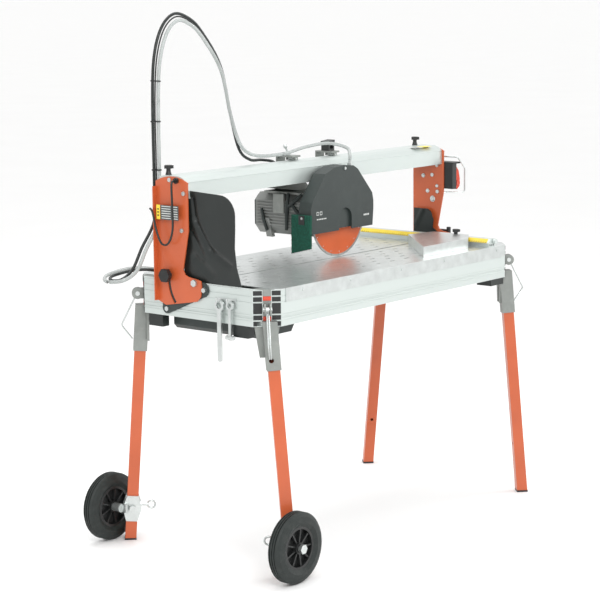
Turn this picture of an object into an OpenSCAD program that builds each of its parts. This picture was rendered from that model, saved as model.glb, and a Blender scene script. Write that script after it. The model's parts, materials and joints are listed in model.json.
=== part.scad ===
// Bridge-type masonry saw on a wheeled folding stand, built as an assembly.
// Millimetres. X runs along the bridge, -Y is the working side, Z is up, the floor is Z = 0.

/* [Table frame] */
// Length of the table frame along the bridge
table_l = 1400; // [1250:10:1700]
// Width of the table frame
table_w = 600; // [520:10:760]
// Height of the rail extrusions
rail_h = 117; // [90:1:150]
// Depth of the rail extrusions
rail_t = 24; // [20:1:28]
// Height of the working surface above the floor
top_z = 920; // [820:5:1000]
// Size of the chamfered corners, measured along each rail
chamfer = 66; // [60:1:80]

/* [Stand] */
// Side of the square leg tube
leg_tube = 38; // [34:1:42]
// Distance that each foot stands outside its corner, across the table
leg_spread = 91; // [60:1:110]
// Outside diameter of a wheel
wheel_d = 230; // [210:2:250]
// Width of a tyre
wheel_w = 52; // [48:1:58]

/* [Bridge] */
// Height of the beam's underside above the working surface
beam_rise = 270; // [250:5:330]
// Height of the beam section
beam_h = 70; // [60:1:90]
// Depth of the beam section
beam_d = 128; // [118:1:140]
// Largest bevel angle of the bridge
tilt_max = 45; // [20:1:45]

/* [Cutting head] */
// Diameter of the diamond blade
blade_d = 300; // [280:2:310]
// Diameter of the blade's bore
bore_d = 25.4; // [20:0.1:30]
// Thickness of the blade
blade_t = 2.6; // [2:0.1:3.4]
// Length of the motor body
motor_l = 265; // [200:5:280]

/* [Hidden] */

orange = [0.86, 0.40, 0.20];
dark_grey = [0.22, 0.26, 0.25];
casting_grey = [0.56, 0.58, 0.56];
aluminium = [0.86, 0.89, 0.87];
zinc = [0.72, 0.75, 0.74];
black = [0.07, 0.08, 0.08];
rubber_black = [0.12, 0.14, 0.13];
red = [0.66, 0.16, 0.10];
motor_grey = [0.64, 0.65, 0.64];

$fn = 48;
half_l = table_l / 2;
half_w = table_w / 2;
panel_t = 3;
rail_top = top_z - panel_t;
rail_base = rail_top - rail_h;
corner_x = half_l - chamfer / 2;
corner_y = half_w - chamfer / 2;
corner_gap = chamfer * sqrt(2) / 2 - rail_t * sqrt(2);

// Legs: a foot on the floor and a straight tube up to the corner.
foot_y = corner_y + leg_spread;
leg_lean = atan(leg_spread / rail_top);
plug_h = 6;
socket_wall = 4;
socket_s = leg_tube + 2 * socket_wall;
socket_low = rail_base - 132;
nose_top = rail_base + 20;
plug_edge = socket_s / 2 + leg_spread * rail_h / rail_top * sqrt(0.5) + 2;
ear_u = 22;
ear_z = rail_base + 58;
bail_reach = corner_x + 111.3;
wheel_r = wheel_d / 2;
wheel_z = wheel_r + 1.5;
wheel_x = -corner_x - 43;
leg_y_wheel = foot_y - leg_spread * wheel_z / rail_top;
wheel_y = leg_y_wheel + wheel_w / 2 + 35;
origin_x = (wheel_r - wheel_x - bail_reach) / 2;

// Bridge
plate_t = 5;
upright_t = 4;
plate_gap = 0.3;
upright_in = half_l + plate_t + plate_gap;
upright_out = upright_in + upright_t;
beam_y0 = 32;
beam_y1 = beam_y0 + beam_d;
beam_z0 = top_z + beam_rise;
beam_z1 = beam_z0 + beam_h;
slot_r = 112;
stud_a = 9;
stud_y = slot_r * cos(stud_a);
stud_z = top_z + slot_r * sin(stud_a);
knob_y = beam_y0 + 95;

// Head
blade_x = 33;
blade_r = blade_d / 2;
blade_z = top_z + 3 + blade_r;
guard_y0 = -34;
guard_y1 = 20;
motor_y0 = 58;
motor_y1 = motor_y0 + motor_l;
swing_x = -100;
swing_z = beam_z0 - 10;
arm_left = -70;
arm_right = 148;

module at() {
    translate([origin_x, 0, 0]) children();
}

module corners() {
    for (sx = [-1, 1])
        for (sy = [-1, 1])
            mirror([sx < 0 ? 1 : 0, 0, 0])
                mirror([0, sy < 0 ? 1 : 0, 0])
                    children();
}

// A corner's own axes: +X out along the diagonal, +Y along the chamfer, at the chamfer's middle.
module corner_axes() {
    translate([corner_x, corner_y, 0])
        rotate([0, 0, 45])
            children();
}

module box(x0, x1, y0, y1, z0, z1) {
    translate([x0, y0, z0]) cube([x1 - x0, y1 - y0, z1 - z0]);
}

module cyl_x(x0, x1, y, z, r) {
    translate([x0, y, z]) rotate([0, 90, 0]) cylinder(h = x1 - x0, r = r);
}

module cyl_y(x, y0, y1, z, r) {
    translate([x, y0, z]) rotate([-90, 0, 0]) cylinder(h = y1 - y0, r = r);
}

module hex_x(x0, x1, y, z, r) {
    translate([x0, y, z]) rotate([0, 90, 0]) cylinder(h = x1 - x0, r = r, $fn = 6);
}

module hex_y(x, y0, y1, z, r) {
    translate([x, y0, z]) rotate([-90, 0, 0]) cylinder(h = y1 - y0, r = r, $fn = 6);
}

module prism_x(x0, x1, pts) {
    translate([x0, 0, 0]) rotate([90, 0, 90]) linear_extrude(x1 - x0) polygon(pts);
}

module prism_y(y0, y1, pts) {
    translate([0, y1, 0]) rotate([90, 0, 0]) linear_extrude(y1 - y0) polygon(pts);
}

// Points along a wire whose inner corners are rounded with a bend radius.
function fillet(a, b, c, r) = let (u = unit(a - b), v = unit(c - b), t = r / tan(acos(u * v) / 2), m = unit(u + v), o = b + m * norm([t, r]))
    [for (k = [0:4]) let (w = k / 4, q = b + u * t * (1 - w) + v * t * w) o + unit(q - o) * r];
function wire(p, r) = concat([p[0]], [for (i = [1:1:len(p) - 2]) each fillet(p[i - 1], p[i], p[i + 1], r)], [p[len(p) - 1]]);

module bent_rod(pts, d, bend, up) {
    tube_path(wire(pts, bend), d / 2, 12, up);
}

function arc(cx, cz, r, a0, a1, n) = [for (i = [0:n]) let (a = a0 + (a1 - a0) * i / n) [cx + r * cos(a), cz + r * sin(a)]];

// Tube along a line of points: rings of n sides, square to the path.
function unit(v) = v / norm(v);
function along(p, i) = unit(p[min(i + 1, len(p) - 1)] - p[max(i - 1, 0)]);
function side_of(t, up) = unit(cross(t, up));
function ring(c, t, r, n, up) = let (a = side_of(t, up), b = cross(t, a)) [for (k = [0:n - 1]) c + r * (cos(360 * k / n) * a + sin(360 * k / n) * b)];
function spline(p, k) = [for (i = [0:len(p) - 2]) let (a = p[max(i - 1, 0)], b = p[i], c = p[i + 1], d = p[min(i + 2, len(p) - 1)])
    for (j = [0:k - 1]) let (t = j / k) 0.5 * (2 * b + (c - a) * t + (2 * a - 5 * b + 4 * c - d) * t * t + (3 * b - a - 3 * c + d) * t * t * t), p[len(p) - 1]];

module tube_path(p, r, n, up) {
    m = len(p);
    rings = [for (i = [0:m - 1]) each ring(p[i], along(p, i), r, n, up)];
    sides = [for (i = [0:m - 2]) for (k = [0:n - 1]) [i * n + k, (i + 1) * n + k, (i + 1) * n + (k + 1) % n, i * n + (k + 1) % n]];
    first = [[for (k = [0:n - 1]) k]];
    last = [[for (k = [0:n - 1]) m * n - 1 - k]];
    polyhedron(points = rings, faces = concat(sides, first, last), convexity = 6);
}

// ---- table frame ----

module rail_profile() {
    cell = rail_h / 6;
    difference() {
        square([rail_t, rail_h]);
        for (i = [0, 1, 4, 5])
            translate([3, i * cell + 2.5]) square([rail_t - 6, cell - 5]);
        translate([3, 2 * cell + 2.5]) square([rail_t - 6, 2 * cell - 5]);
        for (i = [1, 2, 4, 5])
            translate([rail_t - 1.2, i * cell - 1]) square([2, 2]);
        translate([rail_t - 2.6, 1.5 * cell - 3.5]) square([3, 7]);
    }
}

module corner_cuts() {
    corners() corner_axes() box(0, 120, -150, 150, rail_base - 10, top_z + 10);
}

module long_rails() {
    color(aluminium) at() difference() {
        for (sy = [-1, 1])
            mirror([0, sy < 0 ? 1 : 0, 0])
                translate([-half_l, half_w - rail_t, rail_base])
                    rotate([90, 0, 90]) linear_extrude(table_l) rail_profile();
        corner_cuts();
        corners() box(half_l - rail_t, half_l + 10, -half_w, half_w + 10, rail_base - 10, top_z);
    }
}

module end_rails() {
    color(aluminium) at() difference() {
        for (sx = [-1, 1])
            mirror([sx < 0 ? 1 : 0, 0, 0])
                translate([half_l - rail_t, half_w, rail_base])
                    rotate([90, 0, 0]) linear_extrude(table_w) rail_profile();
        corner_cuts();
        corners() box(-half_l, half_l + 10, half_w - rail_t, half_w + 10, rail_base - 10, top_z);
    }
}

module end_plugs() {
    cell = rail_h / 6;
    cap_w = rail_t * sqrt(2);
    color(black) at() {
        corners() corner_axes()
            for (s = [0, 1])
                mirror([0, s, 0])
                    for (c = [[0, 1], [1, 1], [2, 2], [4, 1], [5, 1]])
                        box(0, 2, c[0] < 1 ? plug_edge : corner_gap + 3, corner_gap + cap_w - 3,
                            rail_base + c[0] * cell + 2.5, rail_base + (c[0] + c[1]) * cell - 2.5);
        corners() translate([corner_x, foot_y, 0]) rotate([0, 0, 45])
            box(-leg_tube / 2 - 1, leg_tube / 2 + 1, -leg_tube / 2 - 1, leg_tube / 2 + 1, 0, plug_h);
    }
}

// Cast corner block between the two rails, with the ears of the bail latch.
module corner_blocks() {
    g = corner_gap;
    s = g + 30;
    color(casting_grey) at() corners() corner_axes() {
        difference() {
            union() {
                translate([0, 0, rail_base]) linear_extrude(rail_h)
                    polygon([[0, -g], [0, g], [-(s - g), s], [-(s - g) - 10, s - 12], [-(s - g) - 10, -s + 12], [-(s - g), -s]]);
                box(-1, 4, -g, g, rail_top - 19, rail_top);
                for (sv = [-1, 1])
                    mirror([0, sv < 0 ? 1 : 0, 0]) {
                        box(-1, ear_u, 6.2, 11, ear_z - 17, ear_z + 17);
                        translate([ear_u, 11, ear_z]) rotate([90, 0, 0]) cylinder(h = 4.8, r = 19);
                    }
            }
            translate([ear_u, 20, ear_z]) rotate([90, 0, 0]) cylinder(h = 40, r = 4);
        }
    }
}

module corner_spacers() {
    g = corner_gap;
    color(red) at() corners() corner_axes() {
        box(0, 3, -g, g, rail_top - 33, rail_top - 19.5);
        box(0, 3, -g, g, nose_top + 0.5, nose_top + 13);
    }
}

// Direction of a leg: its foot and its lean.
module leg_axes() {
    translate([corner_x, foot_y, 0]) rotate([leg_lean, 0, 0]) rotate([0, 0, 45]) children();
}

module leg_sockets() {
    s = socket_s / 2;
    color(casting_grey) at() corners() difference() {
        union() {
            intersection() {
                leg_axes() box(-s, s, -s, s, socket_low, nose_top + 60);
                box(0, 2 * half_l, 0, 2 * half_w, socket_low - 40, rail_base);
            }
            intersection() {
                leg_axes() box(-s, s, -s, s, socket_low, nose_top + 60);
                corner_axes() box(0.2, 60, -60, 60, rail_base - 1, nose_top);
            }
            corner_axes() for (sv = [-1, 1])
                mirror([0, sv < 0 ? 1 : 0, 0])
                    translate([-14, 0, 0]) rotate([90, 0, 90]) linear_extrude(8)
                        polygon([[8, rail_base], [s + 17, rail_base], [s + 15, rail_base - 14], [s + 1, rail_base - 100], [8, rail_base - 100]]);
        }
        leg_axes() box(-leg_tube / 2, leg_tube / 2, -leg_tube / 2, leg_tube / 2, socket_low - 60, rail_base - 8);
        corner_axes() translate([10, 9, socket_low + 30]) rotate([0, 90, 0]) cylinder(h = 60, r = 8);
    }
}

module legs() {
    s = leg_tube / 2;
    color(orange) at() corners() difference() {
        leg_axes() difference() {
            box(-s, s, -s, s, -60, rail_base - 8);
            box(-s + 2.5, s - 2.5, -s + 2.5, s - 2.5, -70, rail_base + 8);
        }
        box(0, 2 * half_l, 0, 2 * half_w, -100, plug_h);
        leg_axes() translate([-40, 0, 180]) rotate([0, 90, 0]) cylinder(h = 80, r = 5.5);
        corner_axes() translate([10, 9, socket_low + 30]) rotate([0, 90, 0]) cylinder(h = 60, r = 8);
    }
}

// Wire bail: two strands from the latch pin out to a bend and back to the hook in the leg socket.
module bail() {
    tip_z = socket_low + 32;
    tip_u = 37;
    corner_axes() difference() {
        union() {
            translate([ear_u, 5.5, ear_z]) rotate([90, 0, 0]) cylinder(h = 11, r = 8);
            for (s = [-1, 1])
                bent_rod([[ear_u + 5, 3 * s, ear_z - 5], [ear_u + 56, 3 * s, tip_z + 52], [tip_u + 6, 6 + 2.6 * s, tip_z + 4]], 5, 12, [0, 1, 0]);
        }
        translate([ear_u, 20, ear_z]) rotate([90, 0, 0]) cylinder(h = 40, r = 4.35);
    }
}

module bail_front_left() {
    color(zinc) at() mirror([1, 0, 0]) mirror([0, 1, 0]) bail();
}

module bail_front_right() {
    color(zinc) at() mirror([0, 1, 0]) bail();
}

module bail_rear_left() {
    color(zinc) at() mirror([1, 0, 0]) bail();
}

module bail_rear_right() {
    color(zinc) at() bail();
}

// ---- wheels ----

module wheel_bracket(turn) {
    s = leg_tube / 2;
    difference() {
        union() {
            translate([corner_x, leg_y_wheel, wheel_z]) rotate([leg_lean, 0, 0]) rotate([0, 0, 45 + turn])
                difference() {
                    union() {
                        for (f = [-1, 1])
                            translate([f > 0 ? s : -s - 4, 0, 0]) rotate([90, 0, 90]) linear_extrude(4)
                                polygon([[-s, 42], [s, 42], [s + 12, 6], [s + 12, -6], [s, -48], [-s, -48], [-s - 12, -6], [-s - 12, 6]]);
                        for (f = [-1, 1])
                            box(-s - 4, s + 4, f > 0 ? s : -s - 5, f > 0 ? s + 5 : -s, -22, 22);
                    }
                    translate([0, -60, 8]) rotate([-90, 0, 0]) cylinder(h = 60, r = 6.05);
                }
            cyl_y(-wheel_x, leg_y_wheel + 8, wheel_y - wheel_w / 2 + 4.6, wheel_z, 15);
            box(-wheel_x - 16, -wheel_x + 2, leg_y_wheel - 12, leg_y_wheel + 10, wheel_z - 14, wheel_z + 14);
        }
        leg_axes() box(-s, s, -s, s, -60, 400);
    }
    cyl_y(-wheel_x, wheel_y - wheel_w / 2 + 4, wheel_y + 28, wheel_z, 9.95);
    hex_y(-wheel_x, wheel_y + 26.3, wheel_y + 37, wheel_z, 16);
    translate([corner_x, leg_y_wheel, wheel_z]) rotate([leg_lean, 0, 0]) rotate([0, 0, 45 + turn])
        for (f = [-1, 1])
            translate([f > 0 ? s + 4 : -s - 14, 0, 0]) rotate([0, 90, 0]) cylinder(h = 10, r = 11, $fn = 6);
}

module wheel_brackets() {
    color(zinc) at() mirror([1, 0, 0]) {
        wheel_bracket(-90);
        mirror([0, 1, 0]) wheel_bracket(0);
    }
}

// Clamp screw with a ring head, threaded into the bracket from the inner side of the leg.
module eye_bolt(turn) {
    s = leg_tube / 2;
    translate([corner_x, leg_y_wheel, wheel_z]) rotate([leg_lean, 0, 0]) rotate([0, 0, 45 + turn]) {
        translate([0, -s - 34, 8]) rotate([-90, 0, 0]) cylinder(h = 34, r = 6);
        translate([0, -s - 11, 8]) rotate([-90, 0, 0]) cylinder(h = 5, r = 10, $fn = 6);
        translate([0, -s - 46, 8]) rotate([0, 90, 0]) rotate_extrude($fn = 48)
            translate([13, 0]) circle(r = 3.5, $fn = 24);
    }
}

module front_eye_bolt() {
    color(zinc) at() mirror([1, 0, 0]) mirror([0, 1, 0]) eye_bolt(0);
}

module rear_eye_bolt() {
    color(zinc) at() mirror([1, 0, 0]) eye_bolt(-90);
}

module tyre() {
    w = wheel_w / 2;
    r = wheel_r;
    translate([wheel_x, wheel_y, wheel_z]) rotate([90, 0, 0]) rotate_extrude($fn = 96)
        polygon([[r - 46, -w + 8], [r - 32, -w], [r - 14, -w + 3], [r - 4, -0.7 * w], [r, -0.52 * w],
            [r, -0.42 * w], [r - 3, -0.4 * w], [r - 3, -0.3 * w], [r, -0.28 * w],
            [r, -0.08 * w], [r - 3, -0.06 * w], [r - 3, 0.06 * w], [r, 0.08 * w],
            [r, 0.28 * w], [r - 3, 0.3 * w], [r - 3, 0.4 * w], [r, 0.42 * w],
            [r, 0.52 * w], [r - 4, 0.7 * w], [r - 14, w - 3], [r - 32, w], [r - 46, w - 8]]);
}

module hub() {
    w = wheel_w / 2;
    r = wheel_r - 46;
    translate([wheel_x, wheel_y, wheel_z]) rotate([90, 0, 0]) difference() {
        union() {
            difference() {
                translate([0, 0, -w + 8]) cylinder(h = 2 * w - 16, r = r, $fn = 96);
                translate([0, 0, -w]) cylinder(h = 2 * w, r = r - 8, $fn = 96);
            }
            translate([0, 0, -2]) cylinder(h = 4, r = r - 4);
            translate([0, 0, -w + 5]) cylinder(h = 2 * w - 10, r = 19);
            for (i = [0:8])
                rotate([0, 0, 40 * i]) box(14, r - 4, -2.5, 2.5, -15, 15);
        }
        translate([0, 0, -w - 1]) cylinder(h = 2 * w + 2, r = 10);
    }
}

module front_tyre() {
    color(rubber_black) at() mirror([0, 1, 0]) tyre();
}

module front_hub() {
    color(black) at() mirror([0, 1, 0]) hub();
}

module rear_tyre() {
    color(rubber_black) at() tyre();
}

module rear_hub() {
    color(black) at() hub();
}

// ---- tank and table ----

tank_x = half_l - rail_t - 26;
tank_y = half_w - rail_t - 26;
tank_low = rail_base - 50;

sump_x = -tank_x + 200;
sump_y0 = -tank_y + 50;
sump_y1 = half_w / 2;

// Basin under the table with a deeper sump for the pump at the wheel end.
module tank_plan(inset, deep) {
    difference() {
        square([2 * tank_x - 2 * inset, 2 * tank_y - 2 * inset + 2 * deep], center = true);
        corners() translate([corner_x, corner_y]) rotate(45) translate([-48 - inset, -150]) square([200, 300]);
    }
}

module water_tank() {
    color(dark_grey) at() difference() {
        union() {
            translate([0, 0, rail_base + 3]) linear_extrude(57) tank_plan(0, 0);
            translate([0, 0, rail_base + 56]) linear_extrude(4) tank_plan(0, half_w - rail_t - tank_y);
            prism_y(sump_y0, sump_y1, [[-tank_x, tank_low + 14], [-tank_x + 14, tank_low], [sump_x - 18, tank_low],
                [sump_x, tank_low + 26], [sump_x, rail_base + 4], [-tank_x, rail_base + 4]]);
        }
        translate([0, 0, rail_base + 7]) linear_extrude(70) tank_plan(4, 0);
        box(-tank_x + 18, sump_x - 22, sump_y0 + 4, sump_y1 - 4, tank_low + 4, rail_base + 20);
    }
}

pump_x = -tank_x + 66;
pump_y = sump_y1 - 50;

module water_pump() {
    color(black) at() {
        translate([pump_x, pump_y, tank_low + 4]) cylinder(h = 58, r = 36);
        translate([pump_x, pump_y, tank_low + 61]) cylinder(h = 11, r = 30);
    }
}

// A slotted steel panel. Its outer edge lies on a long rail, its inner edge is turned down beside the blade slot.
module panel(front) {
    x0 = -half_l + rail_t + 26;
    x1 = half_l - rail_t;
    difference() {
        union() {
            box(x0, x1, 4, half_w, rail_top, top_z);
            box(x0, x1, 4, 7, rail_top - 32, rail_top);
            if (front)
                box(-half_l + chamfer + 20, half_l - chamfer - 6, half_w, half_w + 2, top_z - 44, top_z);
        }
        corners() corner_axes() box(0, 120, -150, 150, rail_top - 1, top_z + 1);
        for (row = [0:4])
            for (i = [0:14])
                box(x0 + 40 + i * (x1 - x0 - 90) / 15 + (row % 2) * 34, x0 + 64 + i * (x1 - x0 - 90) / 15 + (row % 2) * 34,
                    40 + row * (half_w - rail_t - 60) / 5, 45 + row * (half_w - rail_t - 60) / 5, rail_top - 1, top_z + 1);
    }
}

module panel_front() {
    color(zinc) at() mirror([0, 1, 0]) panel(true);
}

module panel_rear() {
    color(zinc) at() panel(false);
}

module rubber_blocks() {
    color(black) at() for (p = [[-half_l + 2, 155], [-half_l + 2, -214], [half_l - 150, -half_w + 4], [half_l - 150, half_w - 64]])
        box(p[0], p[0] + (p[0] < 0 ? 30 : 80), p[1], p[1] + 62, rail_base - (p[0] < 0 ? 40 : 24), rail_base);
}

fence_x = half_l - 172;

module fence_bar() {
    color(aluminium) at() {
        difference() {
            prism_y_bar();
            for (sy = [-1, 1])
                for (x = [fence_x + 8, fence_x + 19, fence_x + 30])
                    box(x - 3.5, x + 3.5, sy > 0 ? half_w - 22 : -half_w - 1, sy > 0 ? half_w + 1 : -half_w + 22, top_z + 4, top_z + 11);
            cyl_y(fence_x + 30, -half_w - 1, -half_w + 20, top_z + 20, 3);
        }
        cyl_y(fence_x + 30, -half_w - 9, -half_w + 20, top_z + 20, 3);
        cyl_y(fence_x + 30, -half_w - 12, -half_w - 2, top_z + 20, 9);
    }
}

module prism_y_bar() {
    prism_y(-half_w, half_w - 2, [[fence_x, top_z], [fence_x + 40, top_z], [fence_x + 40, top_z + 29], [fence_x + 12, top_z + 29],
        [fence_x, top_z + 15]]);
}

// Mitre stop: a 45 degree plate face on a flat body, sliding along the fence bar.
module mitre_stop() {
    y0 = -half_w + 48;
    y1 = -8;
    tip = fence_x - 90;
    color(zinc) at() difference() {
        union() {
            translate([0, 0, top_z + 0.3]) linear_extrude(36)
                polygon([[tip, y1], [tip + 4, y1], [tip - (y1 - y0) + 6, y0 + 4], [fence_x - 60, y0 + 4], [fence_x - 60, y0], [tip - (y1 - y0), y0]]);
            translate([0, 0, top_z + 33.3]) linear_extrude(3)
                polygon([[tip, y1], [fence_x + 30, y1 - 30], [fence_x + 30, y0 + 60], [fence_x - 60, y0], [tip - (y1 - y0), y0]]);
            box(fence_x - 12, fence_x - 0.3, y0 + 80, y1 - 40, top_z + 0.3, top_z + 34);
        }
        translate([fence_x + 20, y0 + 110, top_z]) cylinder(h = 60, r = 4);
    }
}

module mitre_knob() {
    color(black) at() translate([fence_x + 20, -half_w + 158, top_z + 29.4]) {
        cylinder(h = 8, r = 3.95);
        translate([0, 0, 7.2]) cylinder(h = 7, r = 7);
        translate([0, 0, 14]) cylinder(h = 10, r = 12);
        for (a = [60, 180, 300])
            rotate([0, 0, a]) translate([10, 0, 14.6]) cylinder(h = 8.8, r = 6);
    }
}

// Wire hook on the left end rail with the two service spanners hanging in it.
module hanging_tools() {
    x = -half_l;
    z = rail_base + 70;
    color(zinc) at() {
        box(x - 3, x, -170, -90, z - 12, z + 12);
        for (y = [-106, -150])
            bent_rod([[x - 2, y, z + 2], [x - 22, y, z - 1], [x - 26, y, z + 16]], 4.4, 6, [0, 1, 0]);
        difference() {
            union() {
                translate([x - 15, -106, z - 12]) rotate([0, 90, 0]) cylinder(h = 7, r = 19);
                box(x - 15, x - 8, -114, -98, z - 188, z - 20);
                translate([x - 15, -106, z - 186]) rotate([0, 90, 0]) cylinder(h = 7, r = 8);
            }
            translate([x - 16, -106, z - 12]) rotate([0, 90, 0]) cylinder(h = 9, r = 10);
        }
        difference() {
            union() {
                translate([x - 14, -150, z - 9]) rotate([0, 90, 0]) cylinder(h = 6, r = 15);
                box(x - 14, x - 8, -155, -145, z - 120, z - 14);
                cyl_y(x - 11, -166, -134, z - 112, 7);
            }
            translate([x - 16, -150, z - 9]) rotate([0, 90, 0]) cylinder(h = 9, r = 8);
        }
    }
}

// ---- bevel pivots ----

function pivot_outline() = concat(arc(-30, top_z - 20, 24, 20, 150, 8), arc(-30, top_z - 20, 24, 160, 240, 4),
    arc(128, top_z - 92, 20, 235, 380, 8), [[150, top_z - 40], [140, top_z + 34], [80, top_z + 34], [40, top_z + 6]]);

plate_bolts = [[-38.5, top_z - 20], [128, top_z - 96]];

module pivot_plates() {
    color(dark_grey) at() for (sx = [0, 1])
        mirror([sx, 0, 0]) difference() {
            prism_x(half_l, half_l + plate_t, pivot_outline());
            cyl_x(half_l - 1, half_l + plate_t + 1, stud_y, stud_z, 5.05);
            cyl_x(half_l - 1, half_l + plate_t + 1, 0, top_z, 8);
            for (p = plate_bolts)
                cyl_x(half_l - 1, half_l + plate_t + 1, p[0], p[1], 4);
        }
}

module frame_fasteners() {
    color(zinc) at() {
        for (sx = [0, 1])
            mirror([sx, 0, 0]) {
                cyl_x(half_l, upright_out + 0.4, 0, top_z, 8);
                hex_x(upright_out + 0.3, upright_out + 8, 0, top_z, 12);
                for (p = plate_bolts) {
                    cyl_x(half_l, half_l + plate_t + 1, p[0], p[1], 4);
                    hex_x(half_l + plate_t, half_l + plate_t + (p[0] < 0 ? 8 : 4), p[0], p[1], 8.5);
                }
            }
        corners() corner_axes() translate([ear_u, 14, ear_z]) rotate([90, 0, 0]) {
            cylinder(h = 28, r = 4);
            cylinder(h = 3, r = 7.5);
            translate([0, 0, 25]) cylinder(h = 3, r = 7.5);
        }
        for (x = [-half_l + 170, -280, 0, 250, half_l - 120])
            cyl_y(x, -half_w - 5, -half_w - 2, top_z - 15, 5);
    }
}

// ---- bridge ----

function upright_outline() = concat([[24, beam_z0 - 105], [24, beam_z1 - 20]], arc(94, beam_z1 - 150, 148, 120, 60, 12),
    [[beam_y1 + 4, top_z - 69], [128, top_z - 83], [-8, top_z - 60], [-24, top_z - 44], [-29, top_z - 20], [-27, top_z + 8],
    [-10, top_z + 12], [30, top_z + 18], [42, top_z + 24], [50, top_z + 38]]);

module upright(right) {
    difference() {
        union() {
            intersection() {
                prism_x(upright_in, upright_out, upright_outline());
                box(upright_in - 1, upright_out + 1, -60, beam_y1 + 4, top_z - 100, beam_z1 + 30);
            }
            box(upright_in, upright_out + 16, beam_y1, beam_y1 + 4, top_z - 69, beam_z1 - 36);
        }
        cyl_x(upright_in - 1, upright_out + 1, 0, top_z, 8.05);
        translate([upright_in - 1, 0, top_z]) rotate([90, 0, 90]) linear_extrude(upright_t + 2)
            polygon(concat(arc(0, 0, slot_r - 6, stud_a + 4, stud_a - tilt_max - 4, 20), arc(0, 0, slot_r + 6, stud_a - tilt_max - 4, stud_a + 4, 20)));
        for (p = bolt_points)
            cyl_x(upright_in - 1, upright_out + 1, p[0], p[1], 4);
        if (!right)
            cyl_x(upright_in - 1, upright_out + 1, 70, beam_z1 - 14, 6);
    }
}

bolt_points = [[100, beam_z1 - 13], [40, beam_z1 - 54], [74, beam_z0 - 42], [50, beam_z0 - 104]];

module upright_left() {
    color(orange) at() mirror([1, 0, 0]) upright(false);
}

module upright_right() {
    color(orange) at() upright(true);
}

module bridge_beam() {
    y0 = beam_y0;
    y1 = beam_y1;
    color(aluminium) at() difference() {
        prism_x(-upright_in, upright_in, [[y0, beam_z0], [y1, beam_z0], [y1, beam_z1 - 24], [y1 - 14, beam_z1 - 3], [y1 - 30, beam_z1],
            [y0 + 34, beam_z1], [y0 + 16, beam_z1 - 6], [y0, beam_z1 - 18], [y0, beam_z1 - 20], [y0 + 1.5, beam_z1 - 20],
            [y0 + 1.5, beam_z1 - 23], [y0, beam_z1 - 23]]);
        box(-upright_in - 1, upright_in + 1, y0 + 4, y0 + beam_d / 2 - 2, beam_z0 + 4, beam_z1 - 25);
        box(-upright_in - 1, upright_in + 1, y0 + beam_d / 2 + 2, y1 - 4, beam_z0 + 4, beam_z1 - 25);
        for (x = [-half_l + 14, half_l - 36])
            translate([x, knob_y, beam_z1 - 20]) cylinder(h = 30, r = 4.05);
    }
}

module bridge_fasteners() {
    color(zinc) at() for (sx = [0, 1])
        mirror([sx, 0, 0]) {
            for (p = bolt_points) {
                cyl_x(upright_in, upright_out + 1, p[0], p[1], 4);
                hex_x(upright_out, upright_out + 5, p[0], p[1], 7.5);
            }
            for (p = [bolt_points[2], bolt_points[3]])
                hex_x(upright_in - 5, upright_in, p[0], p[1], 7.5);
        }
}

module tri_knob(r) {
    cylinder(h = 12, r1 = r * 0.62, r2 = r * 0.42, $fn = 32);
    translate([0, 0, 11]) cylinder(h = 10, r = r * 0.42);
    translate([0, 0, 20]) cylinder(h = 11, r = r * 0.72);
    for (a = [60, 180, 300])
        rotate([0, 0, a]) translate([r * 0.62, 0, 20.6]) cylinder(h = 9.8, r = r * 0.38);
}

module beam_knob(x) {
    translate([x, knob_y, beam_z1]) {
        translate([0, 0, -18]) cylinder(h = 20, r = 4);
        translate([0, 0, 0.3]) tri_knob(17);
    }
}

module beam_knob_left() {
    color(black) at() beam_knob(-half_l + 14);
}

module beam_knob_right() {
    color(black) at() beam_knob(half_l - 36);
}

module tilt_knob() {
    color(black) at() translate([-upright_out, stud_y, stud_z]) rotate([0, -90, 0]) {
        translate([0, 0, -upright_t - plate_t - plate_gap + 0.5]) cylinder(h = upright_t + plate_t + 4, r = 5);
        translate([0, 0, 0.3]) cylinder(h = 12, r = 11);
        translate([0, 0, 12]) cylinder(h = 16, r = 21);
        for (a = [30:60:330])
            rotate([0, 0, a]) translate([19, 0, 12.7]) cylinder(h = 14.6, r = 4.5);
    }
}

module tilt_lever() {
    color(black) at() translate([upright_out, stud_y, stud_z]) rotate([0, 90, 0]) {
        translate([0, 0, -upright_t - plate_t - plate_gap + 0.5]) cylinder(h = upright_t + plate_t + 4, r = 5);
        translate([0, 0, 0.3]) cylinder(h = 22, r = 13);
        rotate([0, 0, 0]) translate([-4.5, -96, 13]) cube([9, 96, 8]);
        translate([-14, -96, 17]) rotate([0, 90, 0]) cylinder(h = 28, r = 8);
    }
}

// Rubber splash flap hanging on the inner side of an upright.
module splash_flap_left() {
    x = -upright_in + 12;
    color(rubber_black) at() {
        difference() {
            prism_x(x, x + 4, concat([[60, top_z + 1], [-184, top_z + 1], [-164, top_z + 62], [-157, top_z + 120], [-160, top_z + 190]],
                arc(-96, top_z + 224, 64, 180, 90, 8), [[30, top_z + 294], [30, top_z + 268], [60, top_z + 268]]));
            cyl_x(x - 1, x + 5, -94, top_z + 222, 5);
        }
        box(-upright_in, x, 36, 52, top_z + 200, top_z + 260);
    }
}

module splash_flap_right() {
    x = upright_in - 16;
    color(rubber_black) at() {
        prism_x(x, x + 4, concat([[150, top_z + 1], [100, top_z + 1], [66, top_z + 16], [60, top_z + 60]],
            arc(94, top_z + 72, 28, 180, 90, 6), [[150, top_z + 100]]));
        box(x + 4, upright_in, 96, 128, top_z + 50, top_z + 80);
    }
}

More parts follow.
